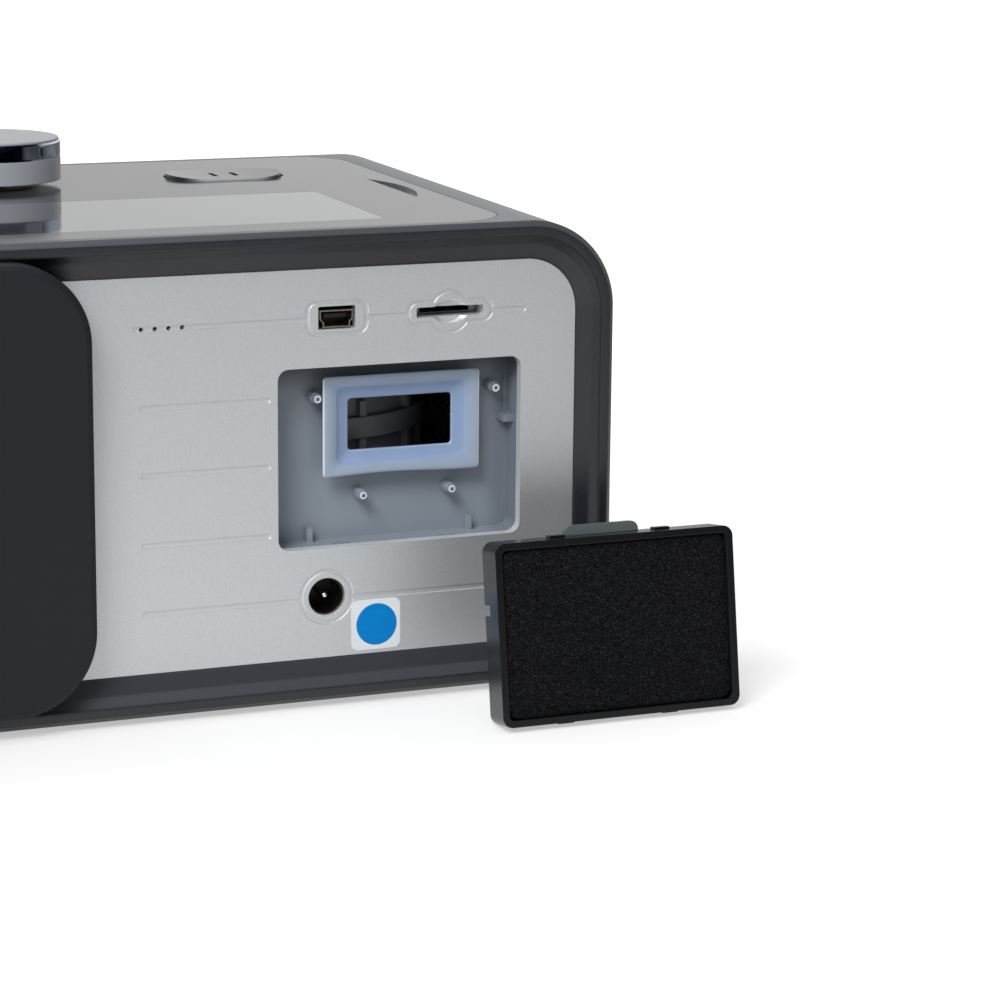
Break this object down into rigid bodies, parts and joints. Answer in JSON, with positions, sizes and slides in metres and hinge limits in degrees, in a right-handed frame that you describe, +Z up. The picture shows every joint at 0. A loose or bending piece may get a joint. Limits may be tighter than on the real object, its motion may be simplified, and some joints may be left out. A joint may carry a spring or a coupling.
{
  "type": "cpap machine",
  "caption": "Desktop airway pressure machine with humidifier: dark wraparound shell, silver rear panel with open filter bay, top display, knob and buttons, drawer tank, loose filter cartridge.",
  "frame": {"origin": "on the surface that the machine stands on, under the middle of the footprint of the machine and its loose filter cartridge", "axes": "+X across the machine, from the humidifier half to the blower half; +Y from the silver rear panel with the filter bay towards the user; +Z up"},
  "size_m": [0.2532, 0.1632, 0.1174],
  "materials": {
    "housing": "fine moulded texture",
    "cover": "fine moulded texture",
    "silver": "fine metallic paint",
    "top": "gloss",
    "button": "gloss",
    "display": "gloss, display off",
    "lcd": "plain",
    "board": "solder mask",
    "inner_dark": "plain moulded",
    "outlet": "smooth",
    "socket_black": "smooth",
    "steel": "bright",
    "knob_grey": "satin",
    "chrome": "mirror",
    "bay": "satin",
    "silicone": "translucent",
    "foam": "open cell foam",
    "rubber": "matt",
    "smoky": "smoky translucent",
    "tab": "translucent",
    "contact": "bright",
    "label": "printed film, blank",
    "plate": "turned",
    "tank_clear": "clear moulded",
    "lid": "satin",
    "latch": "satin",
    "rotor": "smooth"
  },
  "bodies": {
    "housing": {"sleeve": "housing", "rear_panel": "silver", "front_panel": "silver", "top_panel": "top", "display_window": "display", "lcd_module": "lcd", "control_board": "board", "encoder_body": "steel", "button_switches": "inner_dark", "filter_bay": "bay", "inlet_seal": "silicone", "sound_box": "inner_dark", "sound_box_lid": "inner_dark", "chamber_foam": "foam", "blower_housing": "inner_dark", "blower_motor": "steel", "blower_mounts": "rubber", "air_pipe": "silicone", "port_board": "board", "usb_shell": "steel", "usb_tongue": "inner_dark", "card_reader": "steel", "power_jack": "socket_black", "power_pin": "contact", "panel_label": "label", "rear_cover": "cover", "dock_plate": "inner_dark", "hose_outlet": "outlet", "dock_wall": "inner_dark", "tank_dock": "inner_dark", "port_seals": "silicone", "heater_plate": "plate", "main_board": "board", "feet": "rubber", "case_screws": "steel"},
    "push_rod": {"encoder_plunger": "steel"},
    "knob": {"knob_shaft": "steel", "knob_body": "knob_grey", "knob_band": "chrome", "knob_cap": "knob_grey"},
    "start_button": {"start_button": "button"},
    "back_button": {"back_button": "button"},
    "blower_rotor": {"impeller": "rotor"},
    "tank": {"tank_shell": "tank_clear", "tank_base": "plate", "tank_gasket": "silicone", "tank_lid": "lid", "tank_front": "cover"},
    "tank_latch": {"tank_latch": "latch"},
    "filter_cartridge": {"filter_frame": "smoky", "filter_foam": "foam", "filter_tab": "tab"}
  },
  "joints": [
    {"name": "knob_press", "type": "slide", "parent": "housing", "child": "push_rod", "axis": [0, 0, -1], "range_m": [0, 0.0008], "stiffness_N_per_m": 900, "springref_m": -0.001},
    {"name": "knob_turn", "type": "hinge", "parent": "push_rod", "child": "knob", "pos_m": [-0.00877, 0.04665, 0.1072], "axis": [0, 0, 1], "continuous": true},
    {"name": "start_press", "type": "slide", "parent": "housing", "child": "start_button", "axis": [0, 0, -1], "range_m": [0, 0.0008], "stiffness_N_per_m": 600, "springref_m": -0.0008},
    {"name": "back_press", "type": "slide", "parent": "housing", "child": "back_button", "axis": [0, 0, -1], "range_m": [0, 0.0008], "stiffness_N_per_m": 600, "springref_m": -0.0008},
    {"name": "rotor_spin", "type": "hinge", "parent": "housing", "child": "blower_rotor", "pos_m": [0.04922, 0.00065, 0.053], "axis": [0, 0, 1], "continuous": true},
    {"name": "tank_slide", "type": "slide", "parent": "housing", "child": "tank", "axis": [0, 1, 0], "range_m": [0, 0.085]},
    {"name": "latch_press", "type": "slide", "parent": "tank", "child": "tank_latch", "axis": [0, -1, 0], "range_m": [0, 0.0015], "stiffness_N_per_m": 500, "springref_m": -0.0008},
    {"name": "cartridge_lift", "type": "slide", "parent": "housing", "child": "filter_cartridge", "axis": [0, 0, 1], "range_m": [0, 0.12]}
  ]
}
